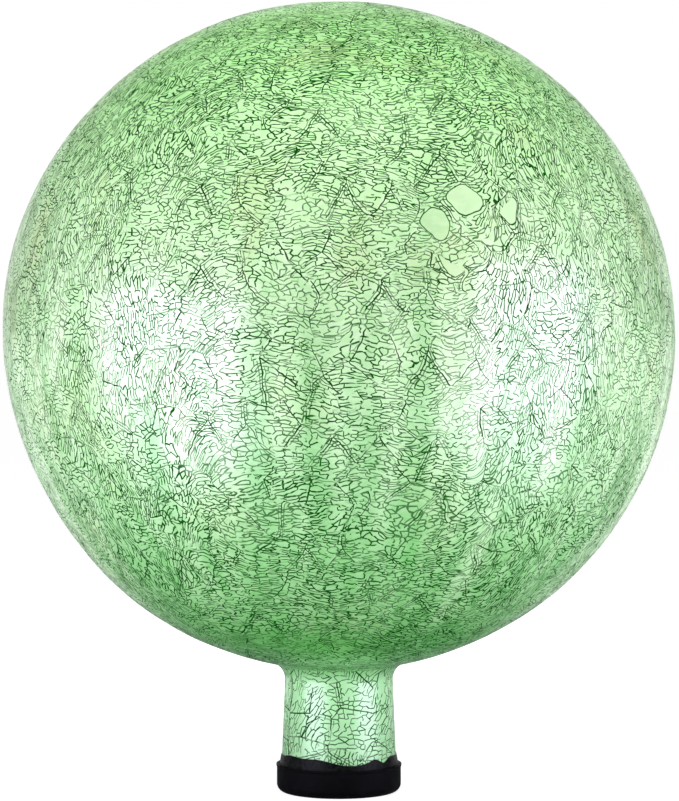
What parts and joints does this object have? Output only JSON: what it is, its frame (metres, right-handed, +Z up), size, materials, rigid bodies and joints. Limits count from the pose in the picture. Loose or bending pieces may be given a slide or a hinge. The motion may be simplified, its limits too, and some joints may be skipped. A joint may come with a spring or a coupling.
{
  "type": "garden gazing ball",
  "caption": "Hollow mirror-lined crackle glass ball on a short flared neck, closed by a glued soft cap; it stands on the cap or hangs by its ball in the ring of a garden stand.",
  "frame": {"origin": "middle of the cap's flat underside, where the part stands", "axes": "+Z up through the neck and the ball, +X to the viewer's right, +Y away from the viewer"},
  "size_m": [0.2539, 0.254, 0.3003],
  "materials": {
    "crackle_glass": "pale green crackle glass with a mirror lining inside",
    "cap_rubber": "matt black",
    "sealant": "glossy black, set silicone"
  },
  "bodies": {
    "root": {"glass_globe": "crackle_glass", "end_cap": "cap_rubber", "sealant": "sealant"}
  },
  "joints": []
}
